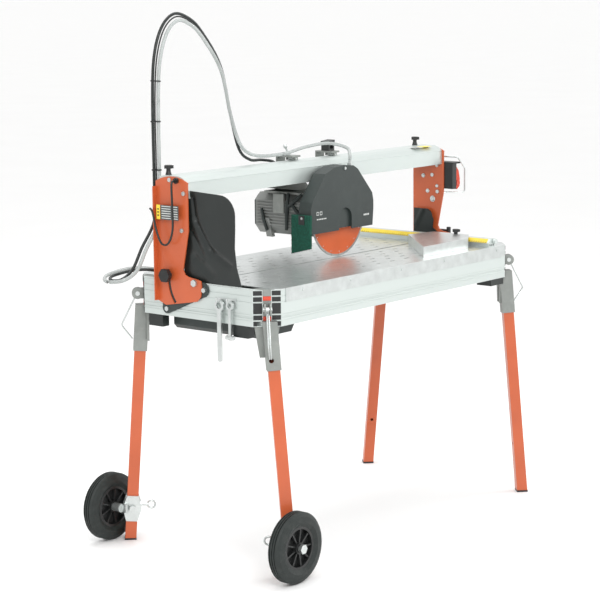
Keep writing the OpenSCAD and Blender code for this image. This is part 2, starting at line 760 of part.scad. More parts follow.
// Laser line unit on the outside of the right upright, behind its wire guard.
module laser_housing() {
    x = upright_out;
    color(black) at() difference() {
        union() {
            box(x, x + 26, -14, 66, beam_z0 - 92, beam_z0 + 6);
            box(x, x + 46, -18, 66, beam_z0 + 2, beam_z0 + 8);
        }
        box(x + 5, x + 27, -8, 60, beam_z0 - 86, beam_z0 + 1);
    }
}

module laser_module() {
    x = upright_out + 5;
    color(red) at() {
        prism_y(-8, 46, [[x, beam_z0], [x + 20, beam_z0], [x + 44, beam_z0 - 26], [x + 52, beam_z0 - 56],
            [x + 50, beam_z0 - 84], [x + 34, beam_z0 - 96], [x + 26, beam_z0 - 86], [x + 24, beam_z0 - 66], [x, beam_z0 - 50]]);
        cyl_y(x + 37, -12, -8, beam_z0 - 72, 10);
    }
}

module laser_guard() {
    x = upright_out;
    color(zinc) at() for (y = [-24, 78]) {
        root = y < 0 ? 38 : 76;
        bent_rod([[x, root, beam_z0 + 28], [x + 12, root, beam_z0 + 28], [x + 20, y, beam_z0 + 28], [x + 66, y, beam_z0 - 18],
            [x + 66, y, beam_z0 - 108], [x + 12, root, beam_z0 - 108], [x, root, beam_z0 - 108]], 6, 9, [0.05, 1, 0.02]);
    }
}

// ---- carriage ----

module carriage_frame() {
    back = beam_y1 + 8;
    color(casting_grey) at() {
        difference() {
            union() {
                box(-112, 182, back, back + 6, beam_z0 - 12, beam_z1 - 8);
                box(-112, 182, beam_y1 - 14, back + 1, beam_z0 - 12, beam_z0 - 6);
                for (c = [arm_left, arm_right]) {
                    box(c - 22, c + 22, back, back + 6, beam_z1 - 9, beam_z1 + 17);
                    box(c - 22, c + 22, knob_y - 28, back + 1, beam_z1 + 11, beam_z1 + 17);
                    for (y = [knob_y - 28, knob_y + 8])
                        box(c - 8, c + 8, y, y + 5, beam_z1 + 1, beam_z1 + 12);
                }
                box(-112, 100, back + 5, back + 128, beam_z0 + 36, beam_z0 + 42);
                for (y = [back + 6, back + 122])
                    box(swing_x - 12, swing_x + 12, y, y + 6, beam_z0 - 24, beam_z0 + 37);
            }
            for (c = [arm_left, arm_right])
                cyl_y(c, knob_y - 40, knob_y + 20, beam_z1 + 5.3, 2.55);
        }
        cyl_y(swing_x, back + 5, back + 130, swing_z, 7);
    }
}

module roller(c) {
    cyl_y(c, knob_y - 22.7, knob_y + 7.7, beam_z1 + 5.3, 5);
    cyl_y(c, knob_y - 29, knob_y + 14, beam_z1 + 5.3, 2.5);
}

module roller_left() {
    color(zinc) at() roller(arm_left);
}

module roller_right() {
    color(zinc) at() roller(arm_right);
}

module carriage_lever() {
    z = beam_z1 + 17.3;
    color(zinc) at() translate([arm_left, knob_y + 8, z]) {
        cylinder(h = 8, r = 9);
        rotate([0, -28, 0]) translate([0, 0, 2]) cylinder(h = 30, r = 3.4);
        rotate([0, -28, 0]) translate([0, 0, 36]) sphere(r = 8, $fn = 48);
    }
}

module carriage_handle() {
    z = beam_z1 + 17;
    color(black) at() difference() {
        prism_y(knob_y - 10, knob_y + 24, [[arm_right - 16, z], [arm_right + 16, z], [arm_right + 16, z + 20], [arm_right + 20, z + 38],
            [arm_right - 20, z + 34], [arm_right - 16, z + 18]]);
        box(arm_right - 9, arm_right + 9, knob_y - 11, knob_y + 25, z + 7, z + 20);
    }
}

// ---- cutting head ----

module motor_body() {
    z = blade_z - 8;
    x = blade_x;
    color(motor_grey) at() difference() {
        union() {
            prism_y(motor_y0, motor_y1, [[x - 62, z - 50], [x - 40, z - 76], [x + 40, z - 76], [x + 62, z - 50], [x + 62, z + 44],
                [x + 38, z + 68], [x - 38, z + 68], [x - 62, z + 44]]);
            for (i = [0:8])
                for (s = [-1, 1])
                    box(s > 0 ? x + 61 : x - 68, s > 0 ? x + 68 : x - 61, motor_y0 + 40, motor_y1 - 6, z - 44 + i * 10.5, z - 40 + i * 10.5);
            for (s = [-1, 1])
                for (y = [motor_y0 + 30, motor_y1 - 70])
                    prism_y(y, y + 26, s > 0 ? [[x + 40, z - 88], [x + 56, z - 88], [x + 72, z - 20], [x + 60, z - 20]]
                        : [[x - 56, z - 88], [x - 40, z - 88], [x - 60, z - 20], [x - 72, z - 20]]);
        }
        cyl_y(x, motor_y0 - 1, motor_y0 + 30, blade_z, bore_d / 2 + 1.3);
    }
}

module fan_cover() {
    z = blade_z - 8;
    x = blade_x;
    color(dark_grey) at() {
        prism_y(motor_y1, motor_y1 + 12, [[x - 54, z - 46], [x - 36, z - 66], [x + 36, z - 66], [x + 54, z - 46], [x + 54, z + 38],
            [x + 34, z + 58], [x - 34, z + 58], [x - 54, z + 38]]);
        prism_y(motor_y1 + 12, motor_y1 + 20, [[x - 40, z - 44], [x + 40, z - 44], [x + 40, z + 34], [x - 40, z + 34]]);
    }
}

// Swing arm: hinged on the carriage behind the beam, bolted to the motor, and carrying the blade guard in front.
module head_bracket() {
    z = blade_z - 8;
    x = blade_x;
    y0 = beam_y1 + 8 + 12.3;
    y1 = beam_y1 + 8 + 121.7;
    color(casting_grey) at() difference() {
        union() {
            box(x - 58, x + 60, motor_y0 - 34, y1 - 4, z + 68, z + 76);
            prism_y(y0, y1, [[swing_x - 14, swing_z - 12], [swing_x + 14, swing_z - 20], [x + 44, z + 70], [x + 60, z + 70],
                [x + 60, z + 90], [x + 20, beam_z0 + 2], [swing_x - 14, beam_z0 + 4]]);
            box(x - 50, x + 50, guard_y1, motor_y0, z - 60, z + 69);
        }
        cyl_y(swing_x, y0 - 1, y1 + 1, swing_z, 7.3);
        cyl_y(x, guard_y1 - 1, motor_y0 + 1, blade_z, bore_d / 2 + 1.3);
        prism_y(y0 + 30, y1 - 30, [[swing_x + 40, swing_z - 10], [x + 10, z + 80], [x + 10, beam_z0 - 6], [swing_x + 40, beam_z0 - 6]]);
    }
}

function guard_outline(m) = let (x = blade_x, z = blade_z, r = blade_r) [
    [x - r - 40 + m, z - 54 - m], [x - r - 40 + m, z + 30], [x - r - 32 + m, z + 54], [x - r * 0.73 + m * 0.8, z + r * 0.97 + 2 - m * 0.4],
    [x - r * 0.36 + m * 0.3, z + r + 17 - m], [x, z + r + 20 - m], [x + r * 0.32 - m * 0.3, z + r + 15 - m], [x + r * 0.48 - m * 0.6, z + r + 2 - m * 0.8],
    [x + r + 4 - m, z + 62], [x + r + 11 - m, z + 34], [x + r + 11 - m, z + 6], [x + r + 5 - m, z - 54 - m]];

nozzle_x = blade_x + 60;
nozzle_z = blade_z + blade_r + 8;

module blade_guard() {
    x = blade_x;
    color(dark_grey) at() difference() {
        prism_y(guard_y0, guard_y1, guard_outline(0));
        difference() {
            prism_y(guard_y0 + 4, guard_y1 - 3, guard_outline(4.5));
            prism_y(guard_y0 + 3, guard_y0 + 12, concat([[x + 46, blade_z - 48]], arc(x, blade_z - 14, 46, 0, 180, 16), [[x - 46, blade_z - 48]]));
        }
        prism_y(guard_y0 - 1, guard_y0 + 9, concat([[x + 36, blade_z - 80], [x + 36, blade_z - 14]], arc(x, blade_z - 14, 36, 0, 180, 16),
            [[x - 36, blade_z - 80]]));
        cyl_y(x, guard_y1 - 5, guard_y1 + 1, blade_z, bore_d / 2 + 1.3);
        translate([nozzle_x, -8, nozzle_z - 20]) cylinder(h = 40, r = 6.02);
    }
}

// Diamond blade: a thin steel core with a segmented rim.
module diamond_blade() {
    rim = 9;
    color(orange) at() translate([blade_x, blade_t / 2, blade_z]) rotate([90, 0, 0]) difference() {
        union() {
            translate([0, 0, 0.3]) cylinder(h = blade_t - 0.6, r = blade_r - rim, $fn = 128);
            difference() {
                cylinder(h = blade_t, r = blade_r, $fn = 128);
                translate([0, 0, -1]) cylinder(h = blade_t + 2, r = blade_r - rim, $fn = 128);
                for (a = [0:15:345])
                    rotate([0, 0, a]) translate([blade_r - rim + 0.5, -1, -1]) cube([rim + 2, 2, blade_t + 2]);
            }
        }
        translate([0, 0, -1]) cylinder(h = blade_t + 2, d = bore_d, $fn = 64);
        for (a = [13:20:353])
            rotate([0, 0, a]) translate([blade_r - rim - 6.5, 0, -1]) cylinder(h = blade_t + 2, r = 2.6, $fn = 24);
    }
}

module arbor() {
    x = blade_x;
    b = blade_t / 2;
    color(zinc) at() {
        cyl_y(x, -b - 9, motor_y0 + 24, blade_z, bore_d / 2);
        cyl_y(x, b, b + 8, blade_z, 34);
        cyl_y(x, -b - 6, -b, blade_z, 34);
        hex_y(x, -b - 16, -b - 6, blade_z, 18);
    }
}

module water_nozzle() {
    color(zinc) at() {
        translate([nozzle_x, -8, nozzle_z - 8]) cylinder(h = 30, r = 6);
        translate([nozzle_x, -8, nozzle_z + 6]) cylinder(h = 8, r = 9, $fn = 6);
        cyl_y(blade_x - 2, guard_y0 - 4, guard_y0, blade_z + blade_r + 9, 5);
    }
}

module scrub_pad() {
    x = blade_x - blade_r - 40;
    color([0.10, 0.42, 0.32]) at() prism_x(x - 11, x, [[-38, top_z + 51], [46, top_z + 30], [46, top_z + 166], [-40, top_z + 166]]);
}

module cable_gland() {
    color(black) at() {
        cyl_x(-upright_out - 14, -upright_in, 70, beam_z1 - 14, 6);
        hex_x(-upright_out - 9, -upright_out, 70, beam_z1 - 14, 10);
    }
}

// ---- hoses and cables ----

mast_y = beam_y1 + 13;
mast_x = -half_l + 12;
rod_line = spline([[mast_x, mast_y + 6, beam_z0 + 6], [mast_x, mast_y + 6, beam_z0 + 120], [mast_x - 2, mast_y + 4, beam_z0 + 300],
    [mast_x + 6, mast_y, beam_z0 + 440], [mast_x + 34, mast_y - 6, beam_z0 + 530], [mast_x + 82, mast_y - 12, beam_z0 + 572],
    [mast_x + 140, mast_y - 16, beam_z0 + 562], [mast_x + 200, mast_y - 18, beam_z0 + 520], [mast_x + 250, mast_y - 20, beam_z0 + 460],
    [mast_x + 290, mast_y - 22, beam_z0 + 400]], 3);

cable_line = spline([[-tank_x + 60, tank_y - 96, tank_low + 72], [-tank_x + 40, tank_y - 76, rail_base + 60], [-half_l + 40, tank_y - 72, rail_top - 24],
    [-half_l + 32, tank_y - 62, top_z + 14], [-half_l - 30, tank_y - 20, top_z + 26], [-half_l - 110, tank_y + 14, top_z + 14],
    [-half_l - 158, tank_y - 20, top_z + 8], [-half_l - 150, tank_y - 60, top_z + 12], [-half_l - 104, tank_y - 66, top_z + 40],
    [-half_l - 56, mast_y + 14, top_z + 104], [mast_x - 8, mast_y + 12, top_z + 190], [mast_x - 6, mast_y + 11, beam_z0 + 40],
    [mast_x - 8, mast_y + 9, beam_z0 + 300], [mast_x, mast_y + 6, beam_z0 + 446], [mast_x + 30, mast_y, beam_z0 + 538],
    [mast_x + 82, mast_y - 6, beam_z0 + 582], [mast_x + 144, mast_y - 10, beam_z0 + 570], [mast_x + 206, mast_y - 12, beam_z0 + 526],
    [mast_x + 296, mast_y - 16, beam_z0 + 406], [mast_x + 340, mast_y - 18, beam_z0 + 240], [mast_x + 380, mast_y - 19, beam_z0 + 124],
    [mast_x + 440, mast_y - 14, beam_z0 + 84], [mast_x + 520, mast_y + 4, beam_z0 + 76], [mast_x + 590, mast_y + 18, beam_z0 + 66],
    [mast_x + 625, mast_y + 30, beam_z0 + 56]], 3);

hose_line = spline([[-tank_x + 60, tank_y - 72, tank_low + 72], [-tank_x + 44, tank_y - 60, rail_base + 62], [-half_l + 41, tank_y - 58, rail_top - 24],
    [-half_l + 34, tank_y - 50, top_z + 18], [-half_l - 34, tank_y + 2, top_z + 30], [-half_l - 120, tank_y + 30, top_z + 16],
    [-half_l - 176, tank_y - 16, top_z + 6], [-half_l - 160, tank_y - 72, top_z + 10], [-half_l - 104, tank_y - 84, top_z + 36],
    [-half_l - 48, mast_y + 2, top_z + 100], [mast_x, mast_y - 1, top_z + 190], [mast_x + 6, mast_y - 1, beam_z0 + 40],
    [mast_x + 6, mast_y - 3, beam_z0 + 300], [mast_x + 14, mast_y - 6, beam_z0 + 430], [mast_x + 42, mast_y - 12, beam_z0 + 520],
    [mast_x + 86, mast_y - 18, beam_z0 + 560], [mast_x + 138, mast_y - 22, beam_z0 + 550], [mast_x + 196, mast_y - 24, beam_z0 + 508],
    [mast_x + 284, mast_y - 28, beam_z0 + 394], [mast_x + 328, mast_y - 30, beam_z0 + 240], [mast_x + 376, mast_y - 32, beam_z0 + 136],
    [mast_x + 450, mast_y - 36, beam_z0 + 98], [mast_x + 550, mast_y - 70, beam_z0 + 98], [mast_x + 640, mast_y - 96, beam_z0 + 116],
    [mast_x + 730, mast_y - 124, beam_z0 + 124], [mast_x + 790, mast_y - 160, beam_z0 + 106], [nozzle_x, -8, nozzle_z + 42],
    [nozzle_x, -8, nozzle_z + 23.3]], 3);

jumper_line = spline([[-upright_out - 14.3, 70, beam_z1 - 14], [-upright_out - 26, 69, beam_z1 - 24], [-upright_out - 28, 66, beam_z1 - 90],
    [-upright_out - 24, 70, beam_z1 - 170], [-upright_out - 22, 92, beam_z1 - 216], [-upright_out - 24, 120, beam_z1 - 218],
    [-upright_out - 24, 142, beam_z1 - 176], [-upright_out - 25, 156, beam_z1 - 120], [-upright_out - 22, 170, beam_z1 - 108]], 3);

module mast_rod() {
    color(black) at() {
        tube_path(rod_line, 2.5, 8, [0, 0.8, 0.01]);
        box(mast_x - 7, mast_x - 1.6, beam_y1, mast_y + 5.5, beam_z0 + 4, beam_z0 + 34);
    }
}

module supply_cable() {
    color(black) at() tube_path(cable_line, 5, 8, [0, 0.8, 0.01]);
}

module water_hose() {
    color([0.8, 0.84, 0.83]) at() tube_path(hose_line, 6, 8, [0, 0.8, 0.01]);
}

module jumper_cable() {
    color(black) at() tube_path(jumper_line, 3.5, 8, [1, 0, 0.01]);
}

long_rails();
end_rails();
end_plugs();
corner_blocks();
corner_spacers();
leg_sockets();
legs();
bail_front_left();
bail_front_right();
bail_rear_left();
bail_rear_right();
wheel_brackets();
front_tyre();
front_hub();
rear_tyre();
rear_hub();
front_eye_bolt();
rear_eye_bolt();
water_tank();
water_pump();
panel_front();
panel_rear();
rubber_blocks();
fence_bar();
mitre_stop();
mitre_knob();
hanging_tools();
pivot_plates();
frame_fasteners();
upright_left();
upright_right();
bridge_beam();
bridge_fasteners();
beam_knob_left();
beam_knob_right();
tilt_knob();
tilt_lever();
splash_flap_left();
splash_flap_right();
laser_housing();
laser_module();
laser_guard();
carriage_frame();
roller_left();
roller_right();
carriage_lever();
carriage_handle();
motor_body();
fan_cover();
head_bracket();
blade_guard();
diamond_blade();
arbor();
water_nozzle();
scrub_pad();
cable_gland();
mast_rod();
supply_cable();
water_hose();
jumper_cable();
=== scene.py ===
"""Finishes for the bridge-type masonry saw: materials, hoses, flaps, pad, labels, studio."""

import bpy
import bmesh
import json
import math
from mathutils import Matrix, Vector
from mathutils import noise as field


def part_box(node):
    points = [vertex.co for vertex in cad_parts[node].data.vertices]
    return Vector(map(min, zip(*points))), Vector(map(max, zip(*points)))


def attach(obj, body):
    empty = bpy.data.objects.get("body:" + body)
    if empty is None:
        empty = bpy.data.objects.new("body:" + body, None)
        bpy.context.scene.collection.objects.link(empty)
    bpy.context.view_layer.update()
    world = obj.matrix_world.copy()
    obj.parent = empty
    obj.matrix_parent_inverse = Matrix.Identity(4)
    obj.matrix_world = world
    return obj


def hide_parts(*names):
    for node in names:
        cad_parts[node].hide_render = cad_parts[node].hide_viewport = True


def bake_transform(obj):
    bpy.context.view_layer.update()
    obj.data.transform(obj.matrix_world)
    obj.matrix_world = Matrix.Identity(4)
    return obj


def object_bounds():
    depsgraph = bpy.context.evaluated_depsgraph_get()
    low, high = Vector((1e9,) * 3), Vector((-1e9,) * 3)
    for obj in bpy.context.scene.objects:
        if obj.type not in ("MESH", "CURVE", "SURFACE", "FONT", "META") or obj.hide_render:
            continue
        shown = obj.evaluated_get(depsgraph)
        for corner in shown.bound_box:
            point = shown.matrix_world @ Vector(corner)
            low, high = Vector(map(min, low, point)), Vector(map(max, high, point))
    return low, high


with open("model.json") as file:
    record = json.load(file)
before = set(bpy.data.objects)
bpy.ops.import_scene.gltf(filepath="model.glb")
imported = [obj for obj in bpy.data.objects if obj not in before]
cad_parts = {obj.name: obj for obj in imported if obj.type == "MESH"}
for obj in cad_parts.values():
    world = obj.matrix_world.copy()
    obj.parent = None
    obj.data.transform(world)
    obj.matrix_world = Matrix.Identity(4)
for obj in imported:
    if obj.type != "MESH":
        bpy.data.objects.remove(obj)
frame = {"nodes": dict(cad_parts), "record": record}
CAD_BOX = [list(corner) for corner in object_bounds()]
NODES = frame["nodes"]
SLOT_OF = {part["node"]: part["material_slot"] for part in frame["record"]["subparts"]}


def middle(node):
    low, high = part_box(node)
    return (Vector(low) + Vector(high)) / 2


MM = 0.001
TABLE_X = middle("bridge_beam").x


def at(x, y, z):
    """A point given in millimetres from the middle of the table, on the floor."""
    return Vector((x * MM + TABLE_X, y * MM, z * MM))


# ---- camera ----

CAMERA_AT = Vector((-5.2508 + TABLE_X, -4.1730, 1.8759))
CAMERA_TURN = math.radians(-50.5544)
CAMERA_RISE = math.radians(9.35)
CAMERA_ROLL = math.radians(-0.5729)
CAMERA_LENS = 116.553


def place_camera():
    back = Vector((
        math.sin(CAMERA_TURN) * math.cos(CAMERA_RISE),
        -math.cos(CAMERA_TURN) * math.cos(CAMERA_RISE),
        math.sin(CAMERA_RISE),
    ))
    level = Vector((math.cos(CAMERA_TURN), math.sin(CAMERA_TURN), 0))
    above = back.cross(level)
    right = level * math.cos(CAMERA_ROLL) + above * math.sin(CAMERA_ROLL)
    top = above * math.cos(CAMERA_ROLL) - level * math.sin(CAMERA_ROLL)
    lens = bpy.data.cameras.new("camera")
    lens.sensor_width = 36
    lens.lens = CAMERA_LENS
    lens.clip_end = 1000
    lens.dof.use_dof = False
    camera = bpy.data.objects.new("camera", lens)
    turn = Matrix((right, top, back)).transposed().to_4x4()
    camera.matrix_world = Matrix.Translation(CAMERA_AT) @ turn
    bpy.context.collection.objects.link(camera)
    bpy.context.scene.camera = camera


place_camera()


# ---- materials ----

class Nodes:
    """A small helper that adds shader nodes and joins them."""

    def __init__(self, name):
        self.material = bpy.data.materials.new(name)
        self.material.use_nodes = True
        self.tree = self.material.node_tree
        self.shader = self.tree.nodes["Principled BSDF"]
        self.place = self.tree.nodes.new("ShaderNodeTexCoord").outputs["Object"]

    def add(self, kind, **values):
        node = self.tree.nodes.new(kind)
        for key, value in values.items():
            if hasattr(node, key):
                setattr(node, key, value)
            else:
                node.inputs[key.replace("_", " ")].default_value = value
        return node

    def join(self, source, target):
        self.tree.links.new(source, target)

    def stretched(self, scale):
        mapping = self.add("ShaderNodeMapping")
        mapping.inputs["Scale"].default_value = scale
        self.join(self.place, mapping.inputs["Vector"])
        return mapping.outputs["Vector"]

    def noise(self, scale, detail=3.0, stretch=(1, 1, 1)):
        texture = self.add("ShaderNodeTexNoise", Scale=scale, Detail=detail)
        self.join(self.stretched(stretch), texture.inputs["Vector"])
        return texture.outputs["Fac"]

    def span(self, source, low, high, start=0.3, end=0.7):
        ranged = self.add("ShaderNodeMapRange")
        ranged.inputs["From Min"].default_value = start
        ranged.inputs["From Max"].default_value = end
        ranged.inputs["To Min"].default_value = low
        ranged.inputs["To Max"].default_value = high
        self.join(source, ranged.inputs["Value"])
        return ranged.outputs["Result"]

    def mix(self, factor, first, second):
        blend = self.add("ShaderNodeMix", data_type="RGBA")
        for socket, value in ((blend.inputs[6], first), (blend.inputs[7], second)):
            if hasattr(value, "is_output"):
                self.join(value, socket)
            else:
                socket.default_value = (*value, 1)
        self.join(factor, blend.inputs[0])
        return blend.outputs[2]

    def relief(self, height, strength, depth, edge=0.0006):
        """Bump from a height, over edges eased by a small radius."""
        eased = self.add("ShaderNodeBevel", samples=4)
        eased.inputs["Radius"].default_value = edge
        bump = self.add("ShaderNodeBump")
        bump.inputs["Strength"].default_value = strength
        bump.inputs["Distance"].default_value = depth
        self.join(height, bump.inputs["Height"])
        self.join(eased.outputs["Normal"], bump.inputs["Normal"])
        self.join(bump.outputs["Normal"], self.shader.inputs["Normal"])

    def set(self, **values):
        for key, value in values.items():
            self.shader.inputs[key.replace("_", " ")].default_value = value


def tone(colour, factor):
    return tuple(min(1.0, c * factor) for c in colour)


def finish_of(name, colour, rough, metal=0.0, cloud=6.0, spread=0.08, grain=600.0, stretch=(1, 1, 1),
              bump=0.15, depth=0.0003, coat=0.0, dust=0.0, edge=0.0006):
    """A surface with cloudy colour, fine grain in its roughness and relief, and a little dust."""
    m = Nodes(name)
    clouds = m.noise(cloud, 4.0, stretch)
    fine = m.noise(grain, 2.0, stretch)
    base = m.mix(m.span(clouds, 0, 1), tone(colour, 1 - spread), tone(colour, 1 + spread * 0.7))
    if dust:
        specks = m.span(m.noise(cloud * 3.1, 6.0), 0, dust, 0.5, 0.75)
        base = m.mix(specks, base, (0.62, 0.62, 0.58))
    m.join(base, m.shader.inputs["Base Color"])
    m.join(m.span(fine, rough * 0.85, min(1.0, rough * 1.18)), m.shader.inputs["Roughness"])
    m.set(Metallic=metal, Coat_Weight=coat, Coat_Roughness=0.12)
    m.relief(fine, bump, depth, edge)
    return m


def plain(*arguments, **values):
    return finish_of(*arguments, **values).material


LONG = (0.03, 1.0, 1.0)
MATERIALS = {
    "aluminium_rail": plain("satin_aluminium", (0.57, 0.62, 0.60), 0.38, 0.55, 5.0, 0.05, 900, LONG, 0.08,
                            0.0001),
    "orange_paint": plain("orange_powder_coat", (0.52, 0.098, 0.028), 0.38, 0.0, 9.0, 0.07, 1400,
                          bump=0.12, coat=0.25),
    "dark_paint": plain("grey_powder_coat", (0.026, 0.037, 0.035), 0.5, 0.0, 9.0, 0.12, 1400, bump=0.12,
                        dust=0.015),
    "dark_plastic": plain("grey_moulded_plastic", (0.022, 0.031, 0.029), 0.5, 0.0, 8.0, 0.12, 1100,
                          bump=0.2, dust=0.012),
    "casting": plain("tumbled_casting", (0.25, 0.265, 0.25), 0.5, 0.4, 14.0, 0.1, 700, bump=0.3, dust=0.1),
    "zinc": plain("zinc_plate", (0.60, 0.63, 0.62), 0.3, 0.85, 30.0, 0.1, 900, bump=0.08),
    "black_plastic": plain("black_moulded_plastic", (0.012, 0.013, 0.013), 0.42, 0.0, 12.0, 0.2, 900,
                           bump=0.15),
    "red_plastic": plain("red_gloss_plastic", (0.62, 0.055, 0.022), 0.26, 0.0, 14.0, 0.08, 900, bump=0.08,
                         coat=0.4),
    "rubber": plain("flap_rubber", (0.0085, 0.0125, 0.0115), 0.36, 0.0, 5.0, 0.2, 500, bump=0.2,
                    dust=0.006),
    "tyre_rubber": plain("tyre_rubber", (0.009, 0.014, 0.0125), 0.6, 0.0, 16.0, 0.2, 420, bump=0.35,
                         dust=0.02),
    "motor_paint": plain("motor_grey_paint", (0.22, 0.23, 0.22), 0.45, 0.1, 12.0, 0.08, 900, bump=0.2,
                         dust=0.05),
    "green_pad": plain("green_fibre", (0.006, 0.088, 0.055), 0.9, 0.0, 260.0, 0.5, 1500, bump=0.9,
                       depth=0.0014),
    "spring_steel": plain("black_spring_sleeve", (0.016, 0.017, 0.017), 0.45, 0.2, 20.0, 0.2, 800,
                          bump=0.2),
}
YELLOW = plain("tape_yellow", (0.83, 0.62, 0.05), 0.42, 0.0, 40.0, 0.08, 1200, bump=0.1)
INK = plain("tape_ink", (0.02, 0.02, 0.02), 0.5, 0.0, 60.0, 0.2, 1200, bump=0.1)
PLATE = plain("plate_grey", (0.075, 0.085, 0.085), 0.4, 0.1, 60.0, 0.15, 1200, bump=0.1)
PALE = plain("plate_pale_ink", (0.62, 0.64, 0.62), 0.45, 0.0, 60.0, 0.1, 1200, bump=0.1)


def hose_finish():
    m = finish_of("clear_hose", (0.50, 0.53, 0.52), 0.22, 0.0, 18.0, 0.05, 300, bump=0.08, depth=0.0002)
    m.set(Transmission_Weight=0.3, IOR=1.42, Alpha=0.85)
    return m.material


def blade_finish():
    """Painted core with a bare sintered rim, told apart by the distance from the arbor."""
    m = finish_of("blade_paint", (0.60, 0.098, 0.014), 0.42, 0.0, 14.0, 0.07, 1300, bump=0.1)
    centre = middle("diamond_blade")
    radius = (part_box("diamond_blade")[1][2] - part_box("diamond_blade")[0][2]) / 2
    parts = m.add("ShaderNodeSeparateXYZ")
    m.join(m.place, parts.inputs[0])
    flat = m.add("ShaderNodeCombineXYZ")
    m.join(parts.outputs["X"], flat.inputs["X"])
    m.join(parts.outputs["Z"], flat.inputs["Z"])
    reach = m.add("ShaderNodeVectorMath", operation="DISTANCE")
    m.join(flat.outputs[0], reach.inputs[0])
    reach.inputs[1].default_value = (centre.x, 0, centre.z)
    rim = m.span(reach.outputs["Value"], 0, 1, radius - 0.0078, radius - 0.0072)
    paint = m.shader.inputs["Base Color"].links[0].from_socket
    grit = m.mix(m.span(m.noise(1500, 2.0), 0, 1), (0.20, 0.20, 0.19), (0.42, 0.42, 0.40))
    m.join(m.mix(rim, paint, grit), m.shader.inputs["Base Color"])
    m.join(m.span(rim, 0.0, 0.6, 0, 1), m.shader.inputs["Metallic"])
    return m.material


MATERIALS["clear_hose"] = hose_finish()
MATERIALS["blade_paint"] = blade_finish()
for node, part in NODES.items():
    for holder in part.material_slots:
        holder.material = MATERIALS[SLOT_OF[node]]


# ---- making pieces ----

def piece_from(name, mesh_data, material, body):
    made = bpy.data.objects.new(name, mesh_data)
    bpy.context.collection.objects.link(made)
    if not mesh_data.materials:
        mesh_data.materials.append(material)
    if body:
        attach(made, body)
    return made


def mesh_of(name, bm, smooth=True):
    bmesh.ops.recalc_face_normals(bm, faces=bm.faces)
    mesh_data = bpy.data.meshes.new(name)
    bm.to_mesh(mesh_data)
    bm.free()
    for face in mesh_data.polygons:
        face.use_smooth = smooth
    return mesh_data


def eased_box(name, low, high, ease, material, body):
    """A plate or block with eased edges."""
    bm = bmesh.new()
    bmesh.ops.create_cube(bm, size=1)
    low, high = Vector(low), Vector(high)
    for vert in bm.verts:
        vert.co = Vector([low[i] + (vert.co[i] + 0.5) * (high[i] - low[i]) for i in range(3)])
    bmesh.ops.bevel(bm, geom=bm.edges[:], offset=ease, segments=2, profile=0.5, affect="EDGES")
    return piece_from(name, mesh_of(name, bm, False), material, body)


def tubed(bm, points, radius, sides):
    """Sweeps a round section along points; radius may change from ring to ring."""
    rings = []
    across = Vector((0, 0.8, 0.01)).normalized()
    for index, point in enumerate(points):
        ahead = (points[min(index + 1, len(points) - 1)] - points[max(index - 1, 0)]).normalized()
        first = ahead.cross(across).normalized()
        second = ahead.cross(first)
        r = radius(index) if callable(radius) else radius
        rings.append([
            bm.verts.new(point + (first * math.cos(a) + second * math.sin(a)) * r)
            for a in (math.tau * k / sides for k in range(sides))
        ])
    for one, two in zip(rings, rings[1:]):
        for k in range(sides):
            bm.faces.new((one[k], one[(k + 1) % sides], two[(k + 1) % sides], two[k]))
    bm.faces.new(rings[0])
    bm.faces.new(list(reversed(rings[-1])))


def curve_through(points, steps):
    """A smooth line through the points."""
    line = []
    for i in range(len(points) - 1):
        a, b = points[max(i - 1, 0)], points[i]
        c, d = points[i + 1], points[min(i + 2, len(points) - 1)]
        for j in range(steps):
            t = j / steps
            line.append(0.5 * (
                2 * b + (c - a) * t + (2 * a - 5 * b + 4 * c - d) * t * t
                + (3 * b - a - 3 * c + d) * t * t * t
            ))
    line.append(points[-1].copy())
    return line


# ---- hoses and cables ----

ROD_LINE = [(-688, 179, 1196), (-688, 179, 1310), (-690, 177, 1490), (-682, 173, 1630),
    (-654, 167, 1720), (-606, 161, 1762), (-548, 157, 1752), (-488, 155, 1710), (-438, 153, 1650),
    (-398, 151, 1590)]
CABLE_LINE = [(-590, 154, 822), (-610, 174, 860), (-660, 178, 893), (-668, 188, 934), (-730, 230, 946),
    (-810, 264, 934), (-858, 230, 928), (-850, 190, 932), (-804, 184, 960), (-756, 187, 1024),
    (-696, 185, 1110), (-694, 184, 1230), (-696, 182, 1490), (-688, 179, 1636), (-658, 173, 1728),
    (-606, 167, 1772), (-544, 163, 1760), (-482, 161, 1716), (-392, 157, 1596), (-348, 155, 1430),
    (-308, 154, 1314), (-248, 159, 1274), (-168, 177, 1266), (-98, 191, 1256), (-63, 203, 1246)]
HOSE_LINE = [(-590, 178, 822), (-606, 190, 862), (-659, 192, 893), (-666, 200, 938), (-734, 252, 950),
    (-820, 280, 936), (-876, 234, 926), (-860, 178, 930), (-804, 166, 956), (-748, 175, 1020),
    (-688, 172, 1110), (-682, 172, 1230), (-682, 170, 1490), (-674, 167, 1620), (-646, 161, 1710),
    (-602, 155, 1750), (-550, 151, 1740), (-492, 149, 1698), (-404, 145, 1584), (-360, 143, 1430),
    (-312, 141, 1326), (-238, 137, 1288), (-138, 103, 1288), (-48, 77, 1306), (42, 49, 1314),
    (102, 13, 1296), (93, -8, 1273), (93, -8, 1254.3)]
JUMPER_LINE = [(-723.6, 70, 1246), (-735.3, 69, 1236), (-737.3, 66, 1170), (-733.3, 70, 1090),
    (-731.3, 92, 1044), (-733.3, 120, 1042), (-733.3, 142, 1084), (-734.3, 156, 1140),
    (-731.3, 170, 1152)]
CABLE_R, HOSE_R, JUMPER_R, ROD_R = 0.005, 0.006, 0.0035, 0.0025
STEPS = 6
CORD_SIDES = 16


def laid(points, steps=STEPS):
    return curve_through([at(*p) for p in points], steps)


